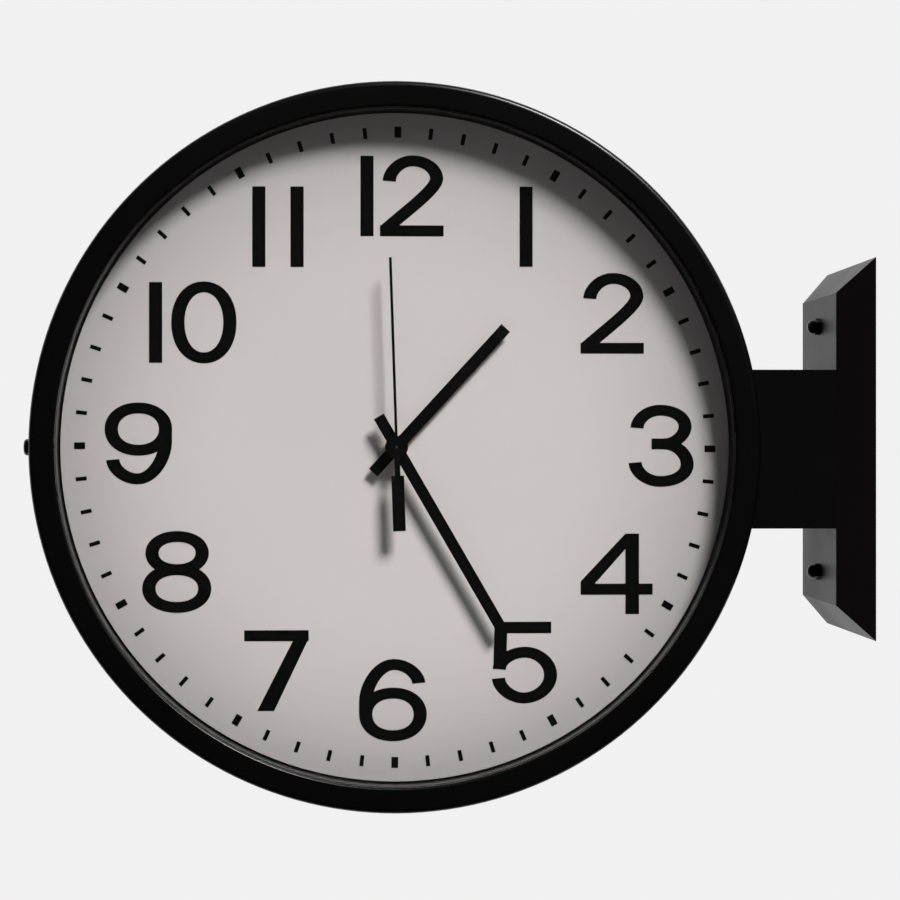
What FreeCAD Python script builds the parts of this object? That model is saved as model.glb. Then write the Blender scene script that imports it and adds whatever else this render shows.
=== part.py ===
import FreeCAD, Part
import math
import os

# Double sided station clock: two dials back to back in a round case, carried by a
# box arm on a bevelled wall canopy.  Millimetres, +Z up.  The origin is the centre
# of the wall face, +X points into the wall and -Y towards the viewer of the front dial.
# Within one clock side, "out" is the distance from the middle plane of the case
# towards that side's viewer.

os.makedirs("parts", exist_ok=True)
Vec = FreeCAD.Vector

# ---------------------------------------------------------------- driving dimensions
BEZEL_RADIUS = 171.0          # outside of the black rim
CLOCK_DEPTH = 108.0           # from bezel face to bezel face
DIAL_SINK = 16.0              # dial face below the bezel face
REACH = 224.1                 # wall face to clock axis
CANOPY_HEIGHT = 179.8
CANOPY_DEPTH = 15.7           # also the run of its 45 degree bevels
AXIS_RISE = 0.9               # clock axis above the middle of the canopy
CLOCK_HOUR, CLOCK_MINUTE, CLOCK_SECOND = 1, 24, 59.68

# ---------------------------------------------------------------- bezel, lens and drum
BEZEL_WALL = 2.4
RIM_WIDTH = 12.1              # flat black ring, from its outside to the sight edge
BEZEL_ROUND = 2.6             # rounding of the rim's outer edge
ROUND_STEPS = 2
LIP_CHAMFER = 1.1             # on the sight edge
SKIRT_LENGTH = 11.4
LENS_THICKNESS = 2.0
LENS_GAP = 1.4                # between the lens and the bezel skirt
DRUM_SET_IN = 0.1             # drum's inside, the wall round the dial, within the sight edge
DRUM_WALL = 2.0
DIAL_GAP = 1.0                # dark joint round the dial
BLOCK_WIDTH = 14.0
BLOCK_FIT = 0.3               # between a block and the bezel skirt
BRACKET_WIDTH = 16.0
BRACKET_THICKNESS = 2.0
BRACKET_REACH = 12.0
BRACKET_LEG = 14.0
SEAT_GAP = 0.1                # flat piece laid against the drum's curve
WIREWAY = 40.0                # square window for the wires, drum and canopy

# ---------------------------------------------------------------- arm and wall end
ARM_HEIGHT = 75.3
ARM_WALL = 2.5
ARM_SKIRT_GAP = 0.4           # between the arm's sides and the bezel skirts
SADDLE_TAB = 15.0
SADDLE_BOLT_INSET = 5.5       # from the arm's inside
FLANGE_BOLT_INSET = 7.8       # from the arm's inside
CANOPY_WALL = 1.5
CANOPY_SCREW_INSET = 29.6     # from the canopy's top and bottom edges
BAR_WIDTH = 30.0
BAR_THICKNESS = 2.5
BAR_END = 9.7                 # ear beyond each canopy screw
BAR_STEP = 18.0               # from each canopy screw back to the part on the wall
BAR_WIRE_HOLE = 14.0          # square
WALL_HOLE_INSET = 16.3        # from the step
WALL_HOLE_RADIUS = 2.75

# ---------------------------------------------------------------- screws and bolts
SCREW_RADIUS = 2.0
SCREW_HEAD_RADIUS = 3.9
SCREW_HEAD_HEIGHT = 2.6
SCREW_LENGTH = 8.0
CAP_NUT_FLATS = 7.0
CAP_NUT_HEX = 2.2             # height of its hexagon
CAP_NUT_DOME = 3.5            # height of the dome on it
CAP_NUT_BORE = 4.4            # depth of the blind thread
BOLT_RADIUS = 2.5
BOLT_HEAD_FLATS = 8.0
BOLT_HEAD_HEIGHT = 3.5
BOLT_LENGTH = 8.0
THREAD_CLEARANCE = 0.05
HOLE_CLEARANCE = 0.2
SMALL_SIDES = 12              # flats on screws, shafts and their holes, to keep the mesh light
HUB_SIDES = 24                # the same on hubs, the threaded post and the battery

# ---------------------------------------------------------------- dial and hands
DIAL_THICKNESS = 1.0
HUB_RADIUS = 5.4
HOUR_TIP, HOUR_TAIL, HOUR_WIDTH = 76.3, 16.2, 5.5
MINUTE_TIP, MINUTE_TAIL, MINUTE_WIDTH = 99.3, 16.7, 5.4
SECOND_TIP, SECOND_TAIL, SECOND_WIDTH = 89.0, 39.4, 1.3
SECOND_NECK, SECOND_NECK_WIDTH, WEIGHT_WIDTH = 13.4, 2.6, 5.95
HAND_THICKNESS = 0.6
HOUR_HAND_HEIGHT = 3.3        # above the dial
LENS_CLEARANCE = 1.5          # from the second hand to the lens
FIT = 0.03                    # hand pressed on its pipe
RUNNING = 0.05                # shaft turning in a bore

# ---------------------------------------------------------------- movement
MOVEMENT_SIZE = 56.0
MOVEMENT_DEPTH = 17.0
MOVEMENT_WALL = 1.2
FRONT_WALL = 1.5
POST_RADIUS = 3.5
POST_HEIGHT = 2.6             # above the dial
NUT_FLATS = 9.0
NUT_HEIGHT = 2.4
HOUR_PIPE = 2.4
MINUTE_PIPE = 1.5
SECOND_SHAFT = 0.5
PIPE_TIP = 0.2                # past the hand it carries
KNOB_RADIUS = 6.0
KNOB_HEIGHT = 3.4
KNOB_SPINDLE = 1.2
KNOB_OFFSET = 9.6             # knob axis above the clock axis
BATTERY_RADIUS = 7.0
BATTERY_LENGTH = 49.2
BATTERY_NUB = 1.2
BATTERY_NUB_RADIUS = 2.75
BATTERY_BAY = 14.8
CONTACT_THICKNESS = 0.4

# ---------------------------------------------------------------- worked out from these
FACE = CLOCK_DEPTH / 2
LIP_RADIUS = BEZEL_RADIUS - RIM_WIDTH
DRUM_INNER = LIP_RADIUS - DRUM_SET_IN
DIAL_FACE = FACE - DIAL_SINK
DIAL_BACK = DIAL_FACE - DIAL_THICKNESS
DIAL_RADIUS = DRUM_INNER - DIAL_GAP
LENS_FRONT = FACE - BEZEL_WALL
LENS_BACK = LENS_FRONT - LENS_THICKNESS
SKIRT_INNER = BEZEL_RADIUS - BEZEL_WALL
SKIRT_END = FACE - SKIRT_LENGTH
LENS_RADIUS = SKIRT_INNER - LENS_GAP
DRUM_OUTER = DRUM_INNER + DRUM_WALL
SCREW_OUT = (SKIRT_END + LENS_BACK) / 2
ARM_DEPTH = 2 * (SKIRT_END - ARM_SKIRT_GAP)
ARM_TOP = ARM_HEIGHT / 2 - AXIS_RISE
ARM_BOTTOM = ARM_TOP - ARM_HEIGHT
SADDLE_BOLT_RISE = ARM_HEIGHT / 2 - ARM_WALL - SADDLE_BOLT_INSET
SADDLE_BOLT_ANGLE = math.degrees(math.asin(SADDLE_BOLT_RISE / DRUM_OUTER))
FLANGE_BOLT_Y = ARM_DEPTH / 2 - ARM_WALL - FLANGE_BOLT_INSET
FLANGE_BOLT_Z = ARM_HEIGHT / 2 - ARM_WALL - FLANGE_BOLT_INSET
CANOPY_WIDTH = ARM_DEPTH + 2 * CANOPY_DEPTH
CANOPY_SCREW_Z = CANOPY_HEIGHT / 2 - CANOPY_SCREW_INSET
BAR_STEP_Z = CANOPY_SCREW_Z - BAR_STEP
WALL_HOLE_Z = BAR_STEP_Z - WALL_HOLE_INSET
CASE_BACK = DIAL_BACK - MOVEMENT_DEPTH
CHAMBER_FLOOR = DIAL_BACK - FRONT_WALL
CASE_HALF = MOVEMENT_SIZE / 2
CASE_INNER = CASE_HALF - MOVEMENT_WALL
PARTITION = BATTERY_BAY - CASE_INNER
BATTERY_HEIGHT = BATTERY_BAY / 2 - CASE_INNER
BATTERY_START = CASE_INNER - CONTACT_THICKNESS - BATTERY_NUB - BATTERY_LENGTH
HOUR_HAND_BACK = DIAL_FACE + HOUR_HAND_HEIGHT
HAND_RISE = (LENS_BACK - LENS_CLEARANCE - HAND_THICKNESS - HOUR_HAND_BACK) / 2
MINUTE_HAND_BACK = HOUR_HAND_BACK + HAND_RISE
SECOND_HAND_BACK = MINUTE_HAND_BACK + HAND_RISE
TRAIN_FRONT = CHAMBER_FLOOR - 2.0
TRAIN_BACK = CASE_BACK + 0.3
PIPE_BACK = TRAIN_FRONT + 0.2


# ---------------------------------------------------------------- drawing helpers
def box(x0, x1, y0, y1, z0, z1):
    return Part.makeBox(x1 - x0, y1 - y0, z1 - z0, Vec(x0, y0, z0))


def turned(outline):
    """Solid of revolution about the clock axis from (radius, out) points."""
    corners = [Vec(radius, -out, 0) for radius, out in outline]
    face = Part.Face(Part.makePolygon(corners + corners[:1]))
    return face.revolve(Vec(0, 0, 0), Vec(0, 1, 0), 360)


def disc(radius, out0, out1):
    """Cylinder on the clock axis between two distances out."""
    return Part.makeCylinder(radius, out1 - out0, Vec(0, -out0, 0), Vec(0, -1, 0))


def tube(outer, inner, out0, out1):
    return disc(outer, out0, out1).cut(disc(inner, out0 - 1, out1 + 1))


def plate(points, out0, out1):
    """Flat outline of (x, z) points, extruded between two distances out."""
    corners = [Vec(x, -out0, z) for x, z in points]
    face = Part.Face(Part.makePolygon(corners + corners[:1]))
    return face.extrude(Vec(0, out0 - out1, 0))


def polar(radius, degrees):
    """Point (x, z) at a clockwise angle from 12 o'clock."""
    angle = math.radians(degrees)
    return radius * math.sin(angle), radius * math.cos(angle)


def small_bar(radius, sides, out0, out1, rise=0.0):
    """Many-sided bar along the clock axis, its corners on the radius."""
    corners = [polar(radius, 360.0 * side / sides) for side in range(sides)]
    return plate([(x, z + rise) for x, z in corners], out0, out1)


def small_hole(radius, out0, out1, rise=0.0):
    """Cutter for a hole that clears a small bar of nearly that radius as it turns."""
    return small_bar(radius / math.cos(math.pi / SMALL_SIDES), SMALL_SIDES, out0, out1, rise)


def prism(corner_radius, sides, z0, z1):
    """Regular prism along Z, from its corner radius."""
    rim = [Vec(*polar(corner_radius, 360.0 * side / sides), z0) for side in range(sides + 1)]
    return Part.Face(Part.makePolygon(rim)).extrude(Vec(0, 0, z1 - z0))


def drill(radius, start, direction, length):
    """Cutter for a fastener's hole, with flats as its shank has, clear of the radius."""
    corner = radius / math.cos(math.pi / SMALL_SIDES)
    return aim(prism(corner, SMALL_SIDES, 0, length), start, direction)


def screw():
    """Pan head screw along -Z with its head's underside at the origin."""
    head = prism(SCREW_HEAD_RADIUS, SMALL_SIDES, 0, SCREW_HEAD_HEIGHT)
    shank = prism(SCREW_RADIUS, SMALL_SIDES, -SCREW_LENGTH, 0)
    return head.fuse(shank).removeSplitter()


def flatted_dome(corner_radius, sides, z0, height):
    """Dome of flats on the plane z0, blunt at the top."""
    levels = [(1.0, 0.0), (0.94, 0.4), (0.7, 0.75), (0.3, 1.0)]
    rings = []
    for share, rise in levels:
        ring = [polar(share * corner_radius, 360.0 * side / sides) for side in range(sides)]
        rings.append([Vec(x, y, z0 + rise * height) for x, y in ring])
    outlines = [rings[0], rings[-1]]
    for lower, upper in zip(rings, rings[1:]):
        for this in range(sides):
            following = (this + 1) % sides
            outlines.append([lower[this], lower[following], upper[following], upper[this]])
    faces = [Part.Face(Part.makePolygon(outline + outline[:1])) for outline in outlines]
    return Part.Solid(Part.Shell(faces))


def cap_nut():
    """Domed nut with its seat on the origin and its dome towards +Z."""
    hexagon = prism(CAP_NUT_FLATS / math.sqrt(3), 6, 0, CAP_NUT_HEX)
    dome = flatted_dome(CAP_NUT_FLATS / 2 - 0.1, SMALL_SIDES, CAP_NUT_HEX, CAP_NUT_DOME)
    start = Vec(0, 0, CAP_NUT_BORE)
    thread = drill(SCREW_RADIUS + THREAD_CLEARANCE, start, Vec(0, 0, -1), CAP_NUT_BORE + 1)
    return hexagon.fuse(dome).removeSplitter().cut(thread)


def hex_bolt():
    """Hexagon bolt along -Z with its head's underside at the origin."""
    head = prism(BOLT_HEAD_FLATS / math.sqrt(3), 6, 0, BOLT_HEAD_HEIGHT)
    shank = prism(BOLT_RADIUS, SMALL_SIDES, -BOLT_LENGTH, 0)
    return head.fuse(shank).removeSplitter()


def aim(shape, position, direction):
    """Copy with its own +Z turned to a direction and its origin put at a position."""
    copy = shape.copy()
    turn = FreeCAD.Rotation(Vec(0, 0, 1), direction)
    copy.Placement = FreeCAD.Placement(position, turn)
    return copy


def in_case(shape):
    """Move a part drawn about the clock's centre to its place off the wall."""
    placed = shape.copy()
    placed.translate(Vec(-REACH, 0, AXIS_RISE))
    return placed


def on_side(name, shape, side):
    """Put a part of the front clock side in place, or its half-turned twin at the rear.
    The rear rim is tipped over instead, so its screw too stays away from the arm."""
    placed = shape.copy()
    if side == "rear":
        axis = Vec(1, 0, 0) if name in ("bezel", "bezel_blocks") else Vec(0, 0, 1)
        placed.rotate(Vec(0, 0, 0), axis, 180)
    return in_case(placed)


def save(name, *shapes):
    shape = shapes[0] if len(shapes) == 1 else Part.makeCompound(list(shapes))
    if len(shapes) == 1 and len(shape.Solids) == 1:
        shape = shape.Solids[0]
    shape.exportStep(os.path.join("parts", name + ".step"))


# ---------------------------------------------------------------- rim, glass and dial
def bezel():
    """Flanged rim whose skirt hides the drum's end; one screw hole at 9 o'clock."""
    centre = (BEZEL_RADIUS - BEZEL_ROUND, FACE - BEZEL_ROUND)
    rounding = []
    for step in range(ROUND_STEPS + 1):
        right, up = polar(BEZEL_ROUND, 90.0 * step / ROUND_STEPS)
        rounding.append((centre[0] + right, centre[1] + up))
    outline = [
        (LIP_RADIUS, LENS_FRONT),
        (LIP_RADIUS, FACE - LIP_CHAMFER),
        (LIP_RADIUS + LIP_CHAMFER, FACE),
        *rounding,
        (BEZEL_RADIUS, SKIRT_END),
        (SKIRT_INNER, SKIRT_END),
        (SKIRT_INNER, LENS_FRONT),
    ]
    start = Vec(-BEZEL_RADIUS - 5, -SCREW_OUT, 0)
    return turned(outline).cut(drill(SCREW_RADIUS + HOLE_CLEARANCE, start, Vec(1, 0, 0), 15))


def lens():
    return disc(LENS_RADIUS, LENS_BACK, LENS_FRONT)


def dial():
    blank = disc(DIAL_RADIUS, DIAL_BACK, DIAL_FACE)
    return blank.cut(drill(POST_RADIUS + 0.1, Vec(0, 0, 0), Vec(0, -1, 0), FACE))


def dial_brackets():
    """Four angles inside the drum that carry the dial from behind."""
    wall = DRUM_INNER - SEAT_GAP - 0.2
    leg = BRACKET_LEG
    outline = [
        (wall - BRACKET_REACH, 0), (wall, 0), (wall, -leg), (wall - BRACKET_THICKNESS, -leg),
        (wall - BRACKET_THICKNESS, -BRACKET_THICKNESS), (wall - BRACKET_REACH, -BRACKET_THICKNESS),
    ]
    corners = [Vec(-BRACKET_WIDTH / 2, -(DIAL_BACK + rise), radius) for radius, rise in outline]
    bracket = Part.Face(Part.makePolygon(corners + corners[:1])).extrude(Vec(BRACKET_WIDTH, 0, 0))
    placed = []
    for angle in (45, 135, 225, 315):
        copy = bracket.copy()
        copy.rotate(Vec(0, 0, 0), Vec(0, 1, 0), angle)
        placed.append(copy)
    return placed


def bezel_blocks():
    """Blocks on the drum's outside that centre the skirt; the one at 9 o'clock is tapped."""
    half = BLOCK_WIDTH / 2
    top = SKIRT_INNER - BLOCK_FIT
    blocks = []
    for angle in (0, 90, 180, 270):
        block = box(-half, half, 0.5 - LENS_BACK, -SKIRT_END, DRUM_OUTER, top)
        if angle == 270:
            start = Vec(0, -SCREW_OUT, DRUM_OUTER - 1)
            thread = drill(SCREW_RADIUS + THREAD_CLEARANCE, start, Vec(0, 0, 1), top)
            block = block.cut(thread)
        block.rotate(Vec(0, 0, 0), Vec(0, 1, 0), angle)
        blocks.append(block)
    return blocks


# ---------------------------------------------------------------- hands
def hand(tip, tail, width, back, bore):
    """Straight bar on a round hub, bored for its pipe."""
    front = back + HAND_THICKNESS
    half = width / 2
    bar = plate([(-half, -tail), (half, -tail), (half, tip), (-half, tip)], back, front)
    blank = bar.fuse(small_bar(HUB_RADIUS, HUB_SIDES, back, front)).removeSplitter()
    return blank.cut(small_hole(bore, back - 1, front + 1))


def second_hand():
    """Thin bar with a wider neck and a square counterweight below the hub."""
    back = SECOND_HAND_BACK
    front = back + HAND_THICKNESS
    half = SECOND_WIDTH / 2
    neck = SECOND_NECK_WIDTH / 2
    weight = WEIGHT_WIDTH / 2
    right = [(half, SECOND_TIP), (half, 0), (neck, 0), (neck, -SECOND_NECK),
             (weight, -SECOND_NECK), (weight, -SECOND_TAIL)]
    outline = right + [(-x, z) for x, z in reversed(right)]
    hub = small_bar(HUB_RADIUS, HUB_SIDES, back, front)
    blank = plate(outline, back, front).fuse(hub).removeSplitter()
    return blank.cut(small_hole(SECOND_SHAFT + FIT, back - 1, front + 1))


def hands():
    """The three hands at the time shown, with their angles clockwise from 12."""
    seconds = CLOCK_HOUR * 3600 + CLOCK_MINUTE * 60 + CLOCK_SECOND
    hour = hand(HOUR_TIP, HOUR_TAIL, HOUR_WIDTH, HOUR_HAND_BACK, HOUR_PIPE + FIT)
    minute = hand(MINUTE_TIP, MINUTE_TAIL, MINUTE_WIDTH, MINUTE_HAND_BACK, MINUTE_PIPE + FIT)
    second = second_hand()
    for shape, angle in ((hour, seconds / 120), (minute, seconds / 10), (second, seconds * 6)):
        shape.rotate(Vec(0, 0, 0), Vec(0, 1, 0), angle % 360)
    return {"hour_hand": hour, "minute_hand": minute, "second_hand": second}


# ---------------------------------------------------------------- movement
def movement_case():
    """Moulded case, open at the back, with its threaded post and battery bay."""
    floor = -CHAMBER_FLOOR
    behind = 1 - CASE_BACK
    shell = box(-CASE_HALF, CASE_HALF, -DIAL_BACK, -CASE_BACK, -CASE_HALF, CASE_HALF)
    post = small_bar(POST_RADIUS, HUB_SIDES, DIAL_BACK - 0.5, DIAL_FACE + POST_HEIGHT)
    low = PARTITION + MOVEMENT_WALL
    chamber = box(-CASE_INNER, CASE_INNER, floor, behind, low, CASE_INNER)
    bay = box(-CASE_INNER, CASE_INNER, floor, behind, -CASE_INNER, PARTITION)
    bore = small_hole(HOUR_PIPE + RUNNING, CHAMBER_FLOOR - 1, FACE)
    return shell.fuse(post).removeSplitter().cut([chamber, bay, bore])


def movement_cover():
    """Lid over the train chamber; the battery bay stays open."""
    back = CASE_BACK - MOVEMENT_WALL
    lid = box(-CASE_HALF, CASE_HALF, -CASE_BACK, -back, PARTITION + MOVEMENT_WALL, CASE_HALF)
    return lid.cut(small_hole(KNOB_SPINDLE + RUNNING, back - 1, CASE_BACK + 1, KNOB_OFFSET))


def drive_train():
    """Closed going train with its stepping motor; the pipes leave its front face."""
    block = box(-20, 20, -TRAIN_FRONT, -TRAIN_BACK, PARTITION + 1.6, CASE_INNER - 1.2)
    seat = small_hole(KNOB_SPINDLE + RUNNING, TRAIN_BACK - 1, TRAIN_BACK + 3, KNOB_OFFSET)
    return block.cut(seat)


def hand_pipe(outer, inner, hand_back):
    """Pipe from the train to just past its hand, bored for what turns inside it."""
    front = hand_back + HAND_THICKNESS + PIPE_TIP
    pipe = small_bar(outer, SMALL_SIDES, PIPE_BACK, front)
    return pipe.cut(small_hole(inner + RUNNING, PIPE_BACK - 1, front + 1))


def hour_pipe():
    return hand_pipe(HOUR_PIPE, MINUTE_PIPE, HOUR_HAND_BACK)


def minute_pipe():
    return hand_pipe(MINUTE_PIPE, SECOND_SHAFT, MINUTE_HAND_BACK)


def second_shaft():
    front = SECOND_HAND_BACK + HAND_THICKNESS + PIPE_TIP
    return small_bar(SECOND_SHAFT, SMALL_SIDES, PIPE_BACK, front)


def setting_knob():
    """Faceted knob on the spindle that sets the hands."""
    front = CASE_BACK - MOVEMENT_WALL - 0.4
    back = front - KNOB_HEIGHT
    grip = small_bar(KNOB_RADIUS, SMALL_SIDES, back, front, KNOB_OFFSET)
    spindle = disc(KNOB_SPINDLE, back + 1, TRAIN_BACK + 2.5)
    spindle.translate(Vec(0, 0, KNOB_OFFSET))
    return grip.fuse(spindle).removeSplitter()


def fixing_nut():
    corner = NUT_FLATS / math.sqrt(3)
    outline = [polar(corner, 60 * side) for side in range(6)]
    nut = plate(outline, DIAL_FACE, DIAL_FACE + NUT_HEIGHT)
    return nut.cut(drill(POST_RADIUS + THREAD_CLEARANCE, Vec(0, 0, 0), Vec(0, -1, 0), FACE))


def battery():
    along = Vec(1, 0, 0)
    cell = aim(prism(BATTERY_RADIUS, HUB_SIDES, 0, BATTERY_LENGTH), Vec(0, 0, 0), along)
    nub = prism(BATTERY_NUB_RADIUS, SMALL_SIDES, 0, BATTERY_NUB)
    cell = cell.fuse(aim(nub, Vec(BATTERY_LENGTH, 0, 0), along)).removeSplitter()
    depth = CHAMBER_FLOOR - 0.3 - BATTERY_RADIUS
    cell.translate(Vec(BATTERY_START, -depth, BATTERY_HEIGHT))
    return cell


def battery_contacts():
    """Flat plate at the positive end, folded leaf at the negative end."""
    near = CASE_BACK + 1.0
    far = CHAMBER_FLOOR
    half = 4.0
    thick = CONTACT_THICKNESS
    flat = box(CASE_INNER - thick, CASE_INNER, -far, -near,
               BATTERY_HEIGHT - half, BATTERY_HEIGHT + half)
    profile = [(-CASE_INNER, near), (-CASE_INNER, far), (BATTERY_START - 0.1, far - 1),
               (BATTERY_START - 0.1, near + 3), (BATTERY_START - 0.1 - thick, near + 3),
               (BATTERY_START - 0.1 - thick, far - 1 - thick),
               (thick - CASE_INNER, far - thick), (thick - CASE_INNER, near)]
    corners = [Vec(x, -out, BATTERY_HEIGHT - half) for x, out in profile]
    leaf = Part.Face(Part.makePolygon(corners + corners[:1])).extrude(Vec(0, 0, 2 * half))
    return [flat, leaf]


# ---------------------------------------------------------------- drum and arm
def saddle_bolt_axes():
    """Radial directions of the two bolts between drum and arm."""
    middle = math.degrees(math.asin(AXIS_RISE / DRUM_OUTER))
    for turn in (-SADDLE_BOLT_ANGLE, SADDLE_BOLT_ANGLE):
        x, z = polar(1.0, 90 + middle + turn)
        yield Vec(x, 0, z)


def flange_bolt_places():
    """Where the arm's end flange bolts to the canopy face, as (y, z)."""
    return [(y, z) for y in (-FLANGE_BOLT_Y, FLANGE_BOLT_Y) for z in (-FLANGE_BOLT_Z, FLANGE_BOLT_Z)]


def case_drum():
    """Tube between the two lenses, with a window for the wires behind the arm."""
    drum = tube(DRUM_OUTER, DRUM_INNER, -LENS_BACK, LENS_BACK)
    half = WIREWAY / 2
    cutters = [box(DRUM_INNER - 9, DRUM_OUTER + 9, -half, half, -half - AXIS_RISE, half - AXIS_RISE)]
    for direction in saddle_bolt_axes():
        start = direction * (DRUM_INNER - 5)
        cutters.append(drill(BOLT_RADIUS + HOLE_CLEARANCE, start, direction, 12))
    return drum.cut(cutters)


def side_arm():
    """Square duct with a saddle end on the drum and a flanged end on the canopy."""
    half_y = ARM_DEPTH / 2
    inner_y = half_y - ARM_WALL
    wall_end = REACH - CANOPY_DEPTH
    saddle = DRUM_OUTER + SEAT_GAP
    duct = box(100, wall_end, -half_y, half_y, ARM_BOTTOM, ARM_TOP)
    inside = box(90, wall_end - ARM_WALL, -inner_y, inner_y,
                 ARM_BOTTOM + ARM_WALL, ARM_TOP - ARM_WALL)
    tabs = tube(saddle + ARM_WALL, saddle, -inner_y, inner_y)
    tab_height = ARM_HEIGHT / 2 - ARM_WALL - SADDLE_TAB
    open_middle = box(90, 200, -60, 60, -tab_height - AXIS_RISE, tab_height - AXIS_RISE)
    duct = duct.cut(inside).fuse(tabs.cut(open_middle).common(duct.copy()))
    half = WIREWAY / 2
    cutters = [
        disc(saddle, -60, 60),
        box(wall_end - 9, wall_end + 9, -half, half, -half - AXIS_RISE, half - AXIS_RISE),
    ]
    for direction in saddle_bolt_axes():
        start = direction * (DRUM_INNER - 5)
        cutters.append(drill(BOLT_RADIUS + THREAD_CLEARANCE, start, direction, 16))
    for y, z in flange_bolt_places():
        start = Vec(wall_end - 9, y, z - AXIS_RISE)
        cutters.append(drill(BOLT_RADIUS + THREAD_CLEARANCE, start, Vec(1, 0, 0), 18))
    return duct.cut(cutters).removeSplitter()


def saddle_bolts():
    """Bolts from inside the drum into the arm's saddle tabs."""
    seat = DRUM_INNER - SEAT_GAP
    return [aim(hex_bolt(), direction * seat, direction * -1) for direction in saddle_bolt_axes()]


# ---------------------------------------------------------------- wall canopy
def frustum(half_y, half_z, x0, depth):
    """Block whose four sides lean in at 45 degrees as it comes away from the wall."""
    def rectangle(x, dy, dz):
        return [Vec(x, sy * dy, sz * dz) for sy, sz in ((-1, -1), (1, -1), (1, 1), (-1, 1))]
    base = rectangle(x0, half_y, half_z)
    top = rectangle(x0 - depth, half_y - depth, half_z - depth)
    outlines = [base, top]
    for this in range(4):
        following = (this + 1) % 4
        outlines.append([base[this], base[following], top[following], top[this]])
    faces = [Part.Face(Part.makePolygon(outline + outline[:1])) for outline in outlines]
    return Part.Solid(Part.Shell(faces))


def wall_canopy():
    """Hollow bevelled cover, open towards the wall."""
    half_y = CANOPY_WIDTH / 2
    half_z = CANOPY_HEIGHT / 2
    shell = frustum(half_y, half_z, 0, CANOPY_DEPTH)
    step = CANOPY_WALL * math.sqrt(2) - 1
    hollow = frustum(half_y - step, half_z - step, 1, CANOPY_DEPTH - CANOPY_WALL + 1)
    along = Vec(1, 0, 0)
    start = -CANOPY_DEPTH - 5
    half = WIREWAY / 2
    cutters = [hollow, box(start, 0, -half, half, -half, half)]
    for side in (-1, 1):
        place = Vec(start, 0, side * CANOPY_SCREW_Z)
        cutters.append(drill(SCREW_RADIUS + HOLE_CLEARANCE, place, along, 10))
    for y, z in flange_bolt_places():
        cutters.append(drill(BOLT_RADIUS + HOLE_CLEARANCE, Vec(start, y, z), along, 10))
    return shell.cut(cutters)


def flange_bolts():
    """Bolts from inside the canopy into the arm's end flange."""
    seat = CANOPY_WALL - CANOPY_DEPTH
    return [aim(hex_bolt(), Vec(seat, y, z), Vec(1, 0, 0)) for y, z in flange_bolt_places()]


def pan_head_screws():
    """One screw in each bezel, away from the arm, and two from behind through the bar's ears."""
    screws = []
    for out in (SCREW_OUT, -SCREW_OUT):
        screws.append(in_case(aim(screw(), Vec(-BEZEL_RADIUS, -out, 0), Vec(-1, 0, 0))))
    for side in (-1, 1):
        ear_back = CANOPY_WALL - CANOPY_DEPTH + BAR_THICKNESS
        place = Vec(ear_back, 0, side * CANOPY_SCREW_Z)
        screws.append(aim(screw(), place, Vec(1, 0, 0)))
    return screws


def cap_nuts():
    """Nuts on the canopy face that draw it against the bar's ears."""
    places = [Vec(-CANOPY_DEPTH, 0, side * CANOPY_SCREW_Z) for side in (-1, 1)]
    return [aim(cap_nut(), place, Vec(-1, 0, 0)) for place in places]


def mounting_bar():
    """Hat-shaped strip: flat on the wall, its ears tapped for the screws that hold the canopy."""
    ear_face = CANOPY_WALL - CANOPY_DEPTH
    ear_back = ear_face + BAR_THICKNESS
    end = CANOPY_SCREW_Z + BAR_END
    outer = BAR_STEP_Z
    inner = outer - BAR_THICKNESS
    upper = [(0, outer), (ear_back, outer), (ear_back, end), (ear_face, end),
             (ear_face, inner), (-BAR_THICKNESS, inner)]
    profile = upper + [(x, -z) for x, z in reversed(upper)]
    corners = [Vec(x, -BAR_WIDTH / 2, z) for x, z in profile]
    bar = Part.Face(Part.makePolygon(corners + corners[:1])).extrude(Vec(0, BAR_WIDTH, 0))
    along = Vec(1, 0, 0)
    half = BAR_WIRE_HOLE / 2
    cutters = [box(-6, 4, -half, half, -half, half)]
    for side in (-1, 1):
        wall_hole = Vec(-6, 0, side * WALL_HOLE_Z)
        cutters.append(Part.makeCylinder(WALL_HOLE_RADIUS, 10, wall_hole, along))
        tapped = Vec(ear_face - 3, 0, side * CANOPY_SCREW_Z)
        cutters.append(drill(SCREW_RADIUS + THREAD_CLEARANCE, tapped, along, 8))
    return bar.cut(cutters)


# ---------------------------------------------------------------- everything to files
SIDE_PARTS = {
    "bezel": bezel,
    "lens": lens,
    "dial": dial,
    "dial_brackets": dial_brackets,
    "bezel_blocks": bezel_blocks,
    "movement_case": movement_case,
    "movement_cover": movement_cover,
    "drive_train": drive_train,
    "hour_pipe": hour_pipe,
    "minute_pipe": minute_pipe,
    "second_shaft": second_shaft,
    "setting_knob": setting_knob,
    "fixing_nut": fixing_nut,
    "battery": battery,
    "battery_contacts": battery_contacts,
}


def main():
    shapes = {name: build() for name, build in SIDE_PARTS.items()}
    shapes.update(hands())
    for side in ("front", "rear"):
        for name, shape in shapes.items():
            solids = shape if isinstance(shape, list) else [shape]
            save(side + "_" + name, *[on_side(name, solid, side) for solid in solids])
    save("case_drum", in_case(case_drum()))
    save("side_arm", in_case(side_arm()))
    save("saddle_bolts", *[in_case(bolt) for bolt in saddle_bolts()])
    save("pan_head_screws", *pan_head_screws())
    save("cap_nuts", *cap_nuts())
    save("wall_canopy", wall_canopy())
    save("flange_bolts", *flange_bolts())
    save("mounting_bar", mounting_bar())


main()
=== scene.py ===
import math

import bmesh
import bpy
from mathutils import Matrix, Vector


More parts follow.
